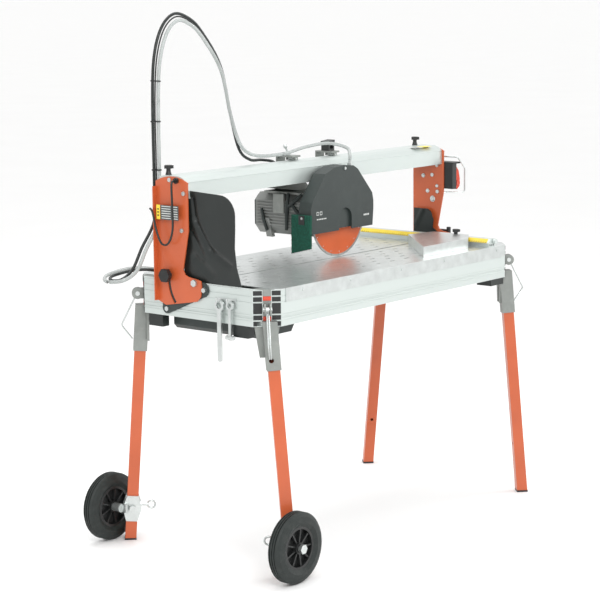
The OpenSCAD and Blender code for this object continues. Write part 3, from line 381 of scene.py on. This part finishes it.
def lead(name, line, radius, material, node, bodies):
    """One length of cable or hose over the span along its way; it rides on its body when it has only one.
    """
    bm = bmesh.new()
    tubed(bm, line, radius, CORD_SIDES)
    # The smooth round swings a hair past the faceted one of the frame.
    for vert in bm.verts:
        vert.co.x = max(vert.co.x, CAD_BOX[0][0])
        vert.co.z = min(vert.co.z, CAD_BOX[1][2])
    made = piece_from(name, mesh_of(name, bm), material, None)
    if len(bodies) == 1:
        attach(made, bodies[0])
    else:
        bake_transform(made)
    if node:
        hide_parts(node)
    return made


def part_of(line, start, end):
    return line[start * STEPS:end * STEPS + 1]


cable_line = laid(CABLE_LINE)
hose_line = laid(HOSE_LINE)
lead("supply_cable_low", part_of(cable_line, 0, 12), CABLE_R, MATERIALS["rubber"], "supply_cable",
     ("frame", "bridge"))
lead("supply_cable_arch", part_of(cable_line, 12, 24), CABLE_R, MATERIALS["rubber"],
     "supply_cable",
     ("bridge", "carriage"))
lead("water_hose_low", part_of(hose_line, 0, 12), HOSE_R, MATERIALS["clear_hose"],
     "water_hose",
     ("frame", "bridge"))
lead("water_hose_arch", part_of(hose_line, 12, 22), HOSE_R, MATERIALS["clear_hose"],
     "water_hose",
     ("bridge", "carriage"))
lead("water_hose_head", part_of(hose_line, 22, 27), HOSE_R, MATERIALS["clear_hose"],
     "water_hose",
     ("carriage", "head"))
lead("jumper_lead", laid(JUMPER_LINE), JUMPER_R, MATERIALS["rubber"], "jumper_cable",
     ("bridge",))


# The sprung rod holds the cable and the hose up.
rod = laid(ROD_LINE)
bm = bmesh.new()
tubed(bm, rod, ROD_R, 12)
mast = piece_from("mast_spring", mesh_of("mast_spring", bm), MATERIALS["spring_steel"],
                  None)
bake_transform(mast)
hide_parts("mast_rod")
eased_box("mast_clamp", at(-695, 160, 1194), at(-689.6, 178.5, 1224), 0.0012, MATERIALS["black_plastic"],
          "bridge")


TIE_SIDES = 24


def tie_rings(name, rod_at, cable_at, hose_at, body):
    """A cable tie: a flat band drawn round the rod, the cable and the hose."""
    bm = bmesh.new()
    for index_r, index_c, index_h in zip(rod_at, cable_at, hose_at):
        centre = (rod[index_r] + cable_line[index_c] + hose_line[index_h]) / 3
        ahead = (hose_line[index_h + 1] - hose_line[index_h - 1]).normalized()
        side = Vector((0, 1, 0)).cross(ahead).normalized()
        other = ahead.cross(side)
        spots = [rod[index_r], cable_line[index_c], hose_line[index_h]]
        rings = []
        for k in range(TIE_SIDES):
            angle = math.tau * k / TIE_SIDES
            out = side * math.cos(angle) + other * math.sin(angle)
            reach = max((spot - centre).dot(out) for spot in spots) + HOSE_R + 0.0006
            for dr, dz in ((0, -0.002), (0.0012, -0.002), (0.0012, 0.002), (0, 0.002)):
                rings.append(bm.verts.new(centre + out * (reach + dr) + ahead * dz))
        for k in range(TIE_SIDES):
            for j in range(4):
                a, b = 4 * k, 4 * ((k + 1) % TIE_SIDES)
                bm.faces.new((rings[a + j], rings[b + j], rings[b + (j + 1) % 4], rings[a + (j + 1) % 4]))
    return piece_from(name, mesh_of(name, bm, False), MATERIALS["black_plastic"], body)


def nearest(line, point):
    return min(range(1, len(line) - 1), key=lambda i: (line[i] - point).length)


TIE_AT = [at(-684, 175, 1280), at(-686, 174, 1430), at(-684, 173, 1560)]
ties = [(nearest(rod, p), nearest(cable_line, p), nearest(hose_line, p)) for p in TIE_AT]
tie_rings("mast_ties", [t[0] for t in ties], [t[1] for t in ties], [t[2] for t in ties], "bridge")


# ---- rubber flaps ----

def fold(y, z, folds):
    """How far a flap stands off its plane: creases running down from the upright."""
    depth = 0.0
    for (y0, z0, y1, z1, width, height) in folds:
        along = Vector((y1 - y0, z1 - z0))
        t = max(0.0, min(1.0, Vector((y - y0, z - z0)).dot(along) / along.length_squared))
        away = (Vector((y - y0, z - z0)) - along * t).length
        depth += height * math.exp(-(away / width) ** 2) * (1 - 0.4 * t)
    return depth


def arc_points(cy, cz, r, start, end, count):
    return [(cy + r * math.cos(math.radians(start + (end - start) * i / count)),
             cz + r * math.sin(math.radians(start + (end - start) * i / count))) for i in range(count + 1)]


def flap(name, node, outline, x, thick, folds, direction):
    """A cut rubber sheet, filled inside its outline and creased."""
    step = 5.0
    bm = bmesh.new()
    edge = []
    for (y0, z0), (y1, z1) in zip(outline, outline[1:] + outline[:1]):
        count = max(1, round(math.hypot(y1 - y0, z1 - z0) / step))
        edge += [(y0 + (y1 - y0) * i / count, z0 + (z1 - z0) * i / count) for i in range(count)]
    verts = [bm.verts.new((0, y, z)) for y, z in edge]
    for one, two in zip(verts, verts[1:] + verts[:1]):
        bm.edges.new((one, two))
    low_y, high_y = min(p[0] for p in edge), max(p[0] for p in edge)
    low_z, high_z = min(p[1] for p in edge), max(p[1] for p in edge)
    bmesh.ops.triangle_fill(bm, edges=bm.edges[:], use_beauty=True)
    for level in range(int(low_z // step) + 1, int(high_z // step) + 1):
        bmesh.ops.bisect_plane(bm, geom=bm.verts[:] + bm.edges[:] + bm.faces[:],
                               plane_co=(0, 0, level * step),
                               plane_no=(0, 0, 1))
    for level in range(int(low_y // step) + 1, int(high_y // step) + 1):
        bmesh.ops.bisect_plane(bm, geom=bm.verts[:] + bm.edges[:] + bm.faces[:],
                               plane_co=(0, level * step, 0),
                               plane_no=(0, 1, 0))
    for vert in bm.verts:
        y, z = vert.co.y, vert.co.z
        off = fold(y, z, folds)
        vert.co = at(x + direction * off, y, z)
    for face in bm.faces:
        face.normal_update()
        if face.normal.x * direction < 0:
            face.normal_flip()
    made = piece_from(name, mesh_of_open(name, bm), MATERIALS["rubber"], None)
    solid = made.modifiers.new("thickness", "SOLIDIFY")
    solid.thickness = thick * MM
    solid.offset = 0
    bake(made)
    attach(made, "bridge")
    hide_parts(node)
    return made


def mesh_of_open(name, bm):
    mesh_data = bpy.data.meshes.new(name)
    bm.to_mesh(mesh_data)
    bm.free()
    for face in mesh_data.polygons:
        face.use_smooth = True
    return mesh_data


def bake(made):
    """Turns a piece's modifiers into its plain mesh."""
    bpy.context.view_layer.update()
    shape = made.evaluated_get(bpy.context.evaluated_depsgraph_get())
    finished = bpy.data.meshes.new_from_object(shape)
    made.modifiers.clear()
    made.data = finished


LEFT_FLAP = [(60, 921), (-184, 921), (-164, 982), (-157, 1040), (-160, 1110)] + arc_points(-96, 1144, 64,
                                                                                           180, 90, 8) + [
    (30, 1214), (30, 1188), (60, 1188)]
LEFT_FOLDS = [(20, 1190, 8, 1120, 8, 8), (8, 1120, -60, 1020, 7, 9), (24, 1080, -20, 1010, 10, 7),
              (-50, 1030, -140, 985, 9, 7), (10, 1000, -60, 950, 14, 6)]
flap("flap_left", "splash_flap_left", LEFT_FLAP, -691.3, 3.2, LEFT_FOLDS, 1)
RIGHT_FLAP = [(150, 921), (100, 921), (66, 936), (60, 980)] + arc_points(94, 992, 28, 180, 90,
                                                                         6) + [(150, 1020)]
RIGHT_FOLDS = [(110, 1015, 140, 960, 9, 4)]
flap("flap_right", "splash_flap_right", RIGHT_FLAP, 691.3, 3.2, RIGHT_FOLDS, -1)


# ---- repeated details, grown by geometry nodes ----

def tree_with(name, inputs):
    """An empty geometry tree with a geometry input and output and the named sizes."""
    tree = bpy.data.node_groups.new(name, "GeometryNodeTree")
    tree.interface.new_socket("Geometry", in_out="INPUT", socket_type="NodeSocketGeometry")
    sockets = {key: tree.interface.new_socket(key, in_out="INPUT", socket_type=kind) for key,
               kind in inputs.items()}
    tree.interface.new_socket("Geometry", in_out="OUTPUT", socket_type="NodeSocketGeometry")
    return tree, sockets, tree.nodes.new("NodeGroupInput"), tree.nodes.new("NodeGroupOutput")


def tick_row_tree():
    """A row of small blocks: count, step, and block size."""
    tree, sockets, start, end = tree_with("tick_row", {
        "Count": "NodeSocketInt", "Step": "NodeSocketVector", "Block": "NodeSocketVector",
        "Material": "NodeSocketMaterial",
    })
    row = tree.nodes.new("GeometryNodeMeshLine")
    block = tree.nodes.new("GeometryNodeMeshCube")
    spread = tree.nodes.new("GeometryNodeInstanceOnPoints")
    real = tree.nodes.new("GeometryNodeRealizeInstances")
    paint = tree.nodes.new("GeometryNodeSetMaterial")
    link = tree.links.new
    link(start.outputs["Count"], row.inputs["Count"])
    link(start.outputs["Step"], row.inputs["Offset"])
    link(start.outputs["Block"], block.inputs["Size"])
    link(row.outputs["Mesh"], spread.inputs["Points"])
    link(block.outputs["Mesh"], spread.inputs["Instance"])
    link(spread.outputs["Instances"], real.inputs["Geometry"])
    link(real.outputs["Geometry"], paint.inputs["Geometry"])
    link(start.outputs["Material"], paint.inputs["Material"])
    link(paint.outputs["Geometry"], end.inputs["Geometry"])
    return tree, sockets


def fibre_tree():
    """Fibres scattered over a surface, standing at random."""
    tree, sockets, start, end = tree_with("fibres", {
        "Density": "NodeSocketFloat", "Seed": "NodeSocketInt", "Fibre": "NodeSocketObject",
        "Material": "NodeSocketMaterial",
    })
    scatter = tree.nodes.new("GeometryNodeDistributePointsOnFaces")
    source = tree.nodes.new("GeometryNodeObjectInfo")
    turn = tree.nodes.new("FunctionNodeRandomValue")
    turn.data_type = "FLOAT_VECTOR"
    turn.inputs["Max"].default_value = (math.tau, math.tau, math.tau)
    spread = tree.nodes.new("GeometryNodeInstanceOnPoints")
    real = tree.nodes.new("GeometryNodeRealizeInstances")
    both = tree.nodes.new("GeometryNodeJoinGeometry")
    paint = tree.nodes.new("GeometryNodeSetMaterial")
    link = tree.links.new
    link(start.outputs["Geometry"], scatter.inputs["Mesh"])
    link(start.outputs["Density"], scatter.inputs["Density"])
    link(start.outputs["Seed"], scatter.inputs["Seed"])
    link(start.outputs["Fibre"], source.inputs["Object"])
    link(scatter.outputs["Points"], spread.inputs["Points"])
    link(source.outputs["Geometry"], spread.inputs["Instance"])
    link(turn.outputs["Value"], spread.inputs["Rotation"])
    link(spread.outputs["Instances"], real.inputs["Geometry"])
    link(real.outputs["Geometry"], both.inputs["Geometry"])
    link(start.outputs["Geometry"], both.inputs["Geometry"])
    link(both.outputs["Geometry"], paint.inputs["Geometry"])
    link(start.outputs["Material"], paint.inputs["Material"])
    link(paint.outputs["Geometry"], end.inputs["Geometry"])
    return tree, sockets


def grow(made, tree, sockets, values):
    modifier = made.modifiers.new("grow", "NODES")
    modifier.node_group = tree
    for key, value in values.items():
        modifier[sockets[key].identifier] = value
    bake(made)


TICKS = tick_row_tree()


def ticks(name, first, step, count, block, material, body, turn=None):
    """A row of ticks from first, a step apart, on the body."""
    made = piece_from(name, bpy.data.meshes.new(name), material, None)
    grow(made, *TICKS, {"Count": count, "Step": tuple(step), "Block": tuple(block), "Material": material})
    place = Matrix.Translation(Vector(first))
    made.data.transform(place @ turn if turn else place)
    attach(made, body)
    return made


# ---- scrubbing pad ----

PAD_OUTLINE = [(-38, 971), (46, 950), (46, 1086), (-40, 1086)]
PAD_X = (-168, -157)


def scrub_pad():
    """A block of coarse fibre: lumpy faces with loose fibres standing off them."""
    across, up, deep = 22, 34, 3
    low_left, low_right, high_right, high_left = PAD_OUTLINE
    bm = bmesh.new()
    grid = {}

    def spot(i, j, k):
        u, v, w = i / across, j / up, k / deep
        low = Vector(low_left).lerp(Vector(low_right), u)
        high = Vector(high_left).lerp(Vector(high_right), u)
        y, z = low.lerp(high, v)
        x = PAD_X[0] + (PAD_X[1] - PAD_X[0]) * w
        inner = Vector(((PAD_X[0] + PAD_X[1]) / 2, 3, 1018))
        here = Vector((x, y, z))
        lump = 0.9 + 0.9 * field.noise(here * 0.19) + 0.6 * field.noise(here * 0.55)
        pull = (inner - here)
        pull = Vector((math.copysign(1, pull.x), pull.y / 60, pull.z / 80))
        return here + pull * max(0.3, lump)

    def vert(i, j, k):
        if (i, j, k) not in grid:
            grid[i, j, k] = bm.verts.new(at(*spot(i, j, k)))
        return grid[i, j, k]

    for i in range(across):
        for j in range(up):
            for k in (0, deep):
                bm.faces.new((vert(i, j, k), vert(i + 1, j, k), vert(i + 1, j + 1, k), vert(i, j + 1, k)))
    for k in range(deep):
        for i in range(across):
            for j in (0, up):
                bm.faces.new((vert(i, j, k), vert(i + 1, j, k), vert(i + 1, j, k + 1), vert(i, j, k + 1)))
        for j in range(up):
            for i in (0, across):
                bm.faces.new((vert(i, j, k), vert(i, j + 1, k), vert(i, j + 1, k + 1), vert(i, j, k + 1)))
    pad = piece_from("scrub_pad_fibre", mesh_of("scrub_pad_fibre", bm), MATERIALS["green_pad"],
                     None)
    strand = bmesh.new()
    tubed(strand, [Vector((0, 0, 0)), Vector((0.0016, 0.0006, 0.001)), Vector((0.0026, 0, 0.0028))],
          0.00022, 3)
    fibre = bpy.data.objects.new("fibre_source", mesh_of("fibre_source", strand))
    bpy.context.collection.objects.link(fibre)
    tree, sockets = fibre_tree()
    grow(pad, tree, sockets, {"Density": 90000.0, "Seed": 11, "Fibre": fibre,
                              "Material": MATERIALS["green_pad"]})
    bpy.data.objects.remove(fibre)
    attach(pad, "head")
    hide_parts("scrub_pad")


scrub_pad()


def pad_clip():
    """The moulded clip and screw that hold the pad to the guard."""
    eased_box("pad_clip", at(-168.6, -14, 1052), at(-167.4, 12, 1084), 0.0005, MATERIALS["black_plastic"],
              "head")
    bm = bmesh.new()
    tubed(bm, [at(-169.9, -2, 1074), at(-169.4, -2, 1074), at(-168.4, -2, 1074)],
          lambda i: (0.0030, 0.0042, 0.0044)[i], 20)
    piece_from("pad_screw", mesh_of("pad_screw", bm), MATERIALS["zinc"], "head")


pad_clip()


# ---- tapes, plates and labels ----

TAPE_THICK = 0.0003
FENCE_X = 528


def tape(name, start, end, across, lift, body, major=8, minor=4):
    """A yellow measuring tape from start to end, with ticks every 5 and 10 mm and no figures."""
    start, end, across = Vector(start), Vector(end), Vector(across)
    lift = Vector(lift).normalized() * TAPE_THICK
    bm = bmesh.new()
    corners = [start, end, end + across, start + across]
    for rows in (corners, [c + lift for c in corners]):
        for c in rows:
            bm.verts.new(c)
    v = list(bm.verts)
    for quad in ((0, 1, 2, 3), (4, 7, 6, 5), (0, 4, 5, 1), (1, 5, 6, 2), (2, 6, 7, 3), (3, 7, 4, 0)):
        bm.faces.new([v[i] for i in quad])
    piece_from(name, mesh_of(name, bm, False), YELLOW, body)
    way = (end - start).normalized()
    side = across.normalized()
    turn = Matrix((way, side, lift.normalized())).transposed().to_4x4()
    length = (end - start).length
    for kind, gap, reach in (("major", 0.010, major), ("minor", 0.005, minor)):
        ticks(f"{name}_{kind}", start + side * reach * MM / 2 + lift * 1.5 + way * gap / 2, (gap, 0, 0),
              int(length / gap), (0.0009, reach * MM, 0.0003), INK, body, turn)


tape("fence_tape", at(FENCE_X, -290, 935), at(FENCE_X, 290, 935),
     at(FENCE_X + 12, 0, 949) - at(FENCE_X, 0, 935),
     (-14, 0, 12), "frame")


def rating_plate():
    """A generic rating plate: a yellow panel, a grey panel and pale bars, with no words."""
    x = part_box("upright_left")[0][0]
    face = (x / MM - TABLE_X / MM)
    eased_box("plate_grey", at(face - 0.5, 50, 1119), at(face, 129, 1166), 0.0001, PLATE,
              "bridge")
    eased_box("plate_yellow", at(face - 0.5, 131, 1119), at(face, 147, 1166), 0.0001, YELLOW,
              "bridge")
    turn = Matrix.Rotation(math.radians(90), 4, "Z")
    ticks("plate_bars", at(face - 0.6, 66, 1124), (0, 0, 0.0076), 6, (0.024, 0.0003, 0.0032), PALE,
          "bridge", turn)
    ticks("plate_bars_long", at(face - 0.6, 104, 1124), (0, 0, 0.0076), 6, (0.040, 0.0003, 0.0026), PALE,
          "bridge", turn)
    ticks("plate_sign", at(face - 0.6, 139, 1132), (0, 0, 0.010), 3, (0.008, 0.0003, 0.004), INK,
          "bridge", turn)


def guard_marks():
    """Small pale marks pressed on the guard: two boxes and two short rows of dashes."""
    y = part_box("blade_guard")[0][1] / MM
    for index, x in enumerate((-126, -108)):
        eased_box(f"guard_mark_{index}", at(x, y - 0.4, 1082), at(x + 12, y, 1094), 0.0001, PALE,
                  "head")
        eased_box(f"guard_mark_inner_{index}", at(x + 2, y - 0.6, 1084), at(x + 10, y - 0.3, 1092), 0.0001,
                  MATERIALS["dark_plastic"], "head")
    ticks("guard_dashes", at(-122, y - 0.2, 1068), (0.009, 0, 0), 6, (0.006, 0.0004, 0.004), PALE,
          "head")
    ticks("guard_dashes_right", at(140, y - 0.2, 1060), (0.008, 0, 0), 4, (0.006, 0.0004, 0.006), PALE,
          "head")


def beam_sticker():
    """A pale panel with grey dashes and a yellow panel, on top of the beam's free end."""
    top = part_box("bridge_beam")[1][2] / MM
    eased_box("sticker_pale", at(548, 40, top), at(602, 76, top + 0.3), 0.0001, PALE, "bridge")
    eased_box("sticker_yellow", at(604, 40, top), at(654, 76, top + 0.3), 0.0001, YELLOW,
              "bridge")
    ticks("sticker_dashes", at(556, 58, top + 0.4), (0.009, 0, 0), 5, (0.005, 0.014, 0.0003), INK,
          "bridge")


def upright_bolts():
    """Bolt heads on the inner face of the right upright, standing on thin washers."""
    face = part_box("upright_right")[0][0] / MM - TABLE_X / MM
    for index, (y, z, reach) in enumerate(((54, 1184, 5), (54, 1107, 5), (74, 1057, 9), (117, 1143, 6),
                                           (97, 1086, 6))):
        line = [at(face - depth, y, z) for depth in (0, 1.2, 1.3, 4.6, 5.4)]
        wide = [reach * MM * share for share in (1.3, 1.3, 1.0, 1.0, 0.82)]
        bm = bmesh.new()
        tubed(bm, line, lambda i, wide=wide: wide[i], 18)
        piece_from(f"upright_bolt_{index}", mesh_of("upright_bolt", bm, False), MATERIALS["zinc"],
                   "bridge")


def motor_cradle():
    """The pale band round the motor and the dark struts of its cradle, on the side nearest the wheels."""
    eased_box("motor_band", at(-41, 184, 1066), at(-28, 234, 1136), 0.003, MATERIALS["casting"],
              "head")
    struts = (((290, 1078), (266, 1000)), ((166, 1140), (176, 1008)), ((104, 1138), (172, 1086)),
              ((148, 1098), (92, 1040)))
    for index, (high, low) in enumerate(struts):
        bm = bmesh.new()
        line = [at(-36, *high), at(-39, (high[0] + low[0]) / 2, (high[1] + low[1]) / 2), at(-36, *low)]
        tubed(bm, line, lambda i: (0.0055, 0.0075, 0.0055)[i], 6)
        piece_from(f"motor_strut_{index}", mesh_of("motor_strut", bm, False), MATERIALS["dark_plastic"],
                   "head")


rating_plate()
guard_marks()
beam_sticker()
upright_bolts()
motor_cradle()


# ---- studio ----

def stage_floor():
    m = finish_of("studio_floor", (0.975, 0.975, 0.97), 0.6, 0.0, 1.2, 0.01, 40, bump=0.02)
    bm = bmesh.new()
    rings = [[bm.verts.new((sx * r, sy * r, z)) for sx, sy in ((-1, -1), (1, -1), (1, 1), (-1, 1))]
             for r, z in ((400, -0.0006), (400, -0.05))]
    bm.faces.new(rings[0])
    for k in range(4):
        bm.faces.new((rings[0][k], rings[1][k], rings[1][(k + 1) % 4], rings[0][(k + 1) % 4]))
    floor = bpy.data.objects.new("studio_floor", mesh_of("studio_floor", bm, False))
    floor.data.materials.append(m.material)
    bpy.context.collection.objects.link(floor)


def soft_light(name, place, target, size, power, colour=(1, 1, 1)):
    lamp = bpy.data.lights.new(name, "AREA")
    lamp.shape = "RECTANGLE"
    lamp.size, lamp.size_y = size
    lamp.energy = power
    lamp.color = colour
    made = bpy.data.objects.new(name, lamp)
    made.location = place
    made.rotation_euler = (Vector(target) - Vector(place)).to_track_quat("-Z", "Y").to_euler()
    bpy.context.collection.objects.link(made)


def studio():
    stage_floor()
    world = bpy.data.worlds.new("studio")
    world.use_nodes = True
    sky = world.node_tree.nodes["Background"]
    sky.inputs["Color"].default_value = (1.0, 1.0, 1.0, 1)
    sky.inputs["Strength"].default_value = 1.0
    bpy.context.scene.world = world
    centre = (TABLE_X, 0, 0.9)
    soft_light("key", (-3.2, -3.6, 3.4), centre, (2.4, 2.0), 110)
    soft_light("side", (3.6, -2.4, 2.4), centre, (2.0, 2.0), 50)
    soft_light("top", (0, 0.5, 4.2), centre, (3.0, 2.2), 60)
    bpy.context.scene.view_settings.view_transform = "Standard"
    bpy.context.scene.view_settings.look = "None"
    bpy.context.scene.view_settings.exposure = 0


studio()
